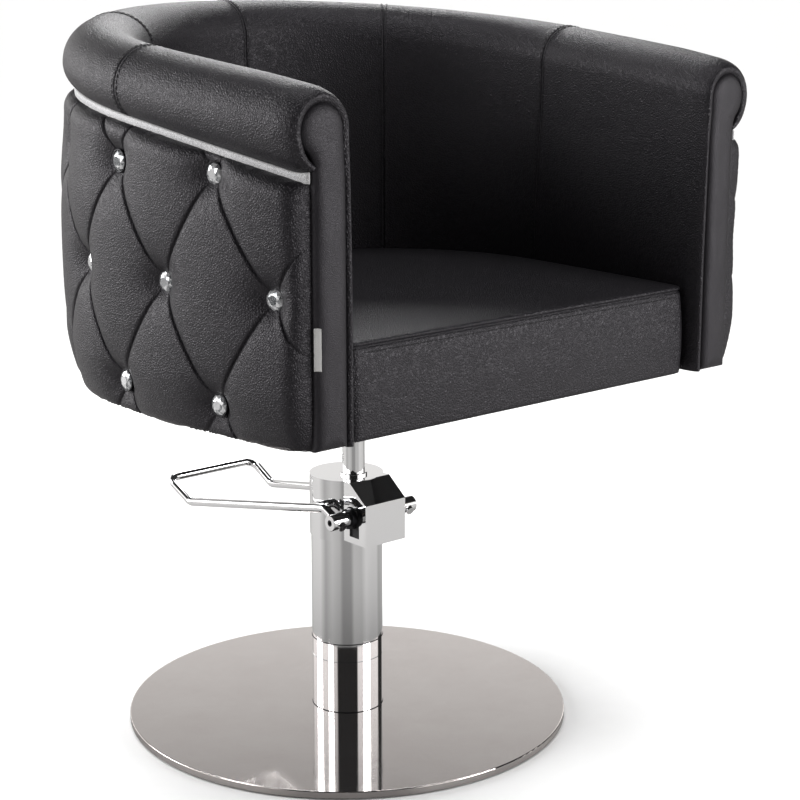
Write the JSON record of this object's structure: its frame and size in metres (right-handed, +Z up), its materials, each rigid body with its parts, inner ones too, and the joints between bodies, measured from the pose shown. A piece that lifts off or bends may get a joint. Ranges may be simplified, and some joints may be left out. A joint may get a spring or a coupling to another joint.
{
  "type": "salon styling chair",
  "caption": "Low tub salon chair with rolled top, diamond-tufted outside and crystal buttons, on a hydraulic pump column with foot pedal loop and round floor plate.",
  "frame": {"origin": "centre of the floor plate, on the floor", "axes": "+Z up along the column; the sitter faces -Y; +X is the sitter's left"},
  "size_m": [0.724, 0.6329, 0.8776],
  "materials": {
    "black_rubber": "matt moulded",
    "mirror_steel": "polished stainless steel",
    "dark_steel": "blackened steel",
    "chrome": "bright chrome plate",
    "cast_iron": "dark casting",
    "bare_steel": "ground steel",
    "bronze": "turned bronze",
    "black_paint": "satin black",
    "plywood": "birch plywood",
    "lining": "black non-woven lining",
    "white_leather": "smooth white",
    "crystal": "cut crystal",
    "tag_fabric": "plain woven tag",
    "black_leather": "pebble-grained, semi-gloss"
  },
  "bodies": {
    "base": {"base_plate": "mirror_steel", "base_pad": "black_rubber", "base_screws": "dark_steel", "column_foot": "chrome", "column_tube": "chrome", "pump_cover": "chrome", "pump_head": "cast_iron", "pump_cylinder": "bare_steel", "guide_bush": "bronze", "wiper_ring": "chrome", "plunger_barrel": "bare_steel", "release_valve": "bare_steel"},
    "pedal": {"pivot_shaft": "chrome", "pedal_loop": "chrome", "grub_screws": "dark_steel", "shaft_collars": "dark_steel", "pump_cam": "dark_steel"},
    "plunger": {"plunger": "bare_steel"},
    "lift": {"piston_head": "bare_steel", "piston_seal": "black_rubber", "thrust_washer": "bronze"},
    "seat": {"piston_rod": "chrome", "seat_bracket": "black_paint", "clamp_screws": "dark_steel", "seat_bolts": "dark_steel", "seat_board": "plywood", "dust_cover": "lining", "shell_frame": "plywood", "roll_piping": "white_leather", "button_settings": "dark_steel", "crystal_buttons": "crystal", "side_tag": "tag_fabric", "seat_cushion": "black_leather", "inner_pad": "black_leather", "outer_panel": "black_leather", "top_roll": "black_leather", "arm_facing_left": "black_leather", "arm_facing_right": "black_leather", "arm_welt_left": "black_leather", "arm_welt_right": "black_leather"}
  },
  "joints": [
    {"name": "height_lift", "type": "slide", "parent": "base", "child": "lift", "axis": [0, 0, 1], "range_m": [-0.08, 0.07]},
    {"name": "seat_swivel", "type": "hinge", "parent": "lift", "child": "seat", "pos_m": [0, -0.0143, 0.122], "axis": [0, 0, 1], "continuous": true},
    {"name": "pedal_pump", "type": "hinge", "parent": "base", "child": "pedal", "pos_m": [0, -0.0484, 0.269], "axis": [-1, 0, 0], "range_deg": [-6, 20]},
    {"name": "plunger_stroke", "type": "slide", "parent": "base", "child": "plunger", "axis": [0, 0, 1], "range_m": [-0.0015, 0.0047]}
  ],
  "couplings": [
    {"joint": "plunger_stroke", "follows": "pedal_pump", "m_per_rad": 0.013}
  ]
}
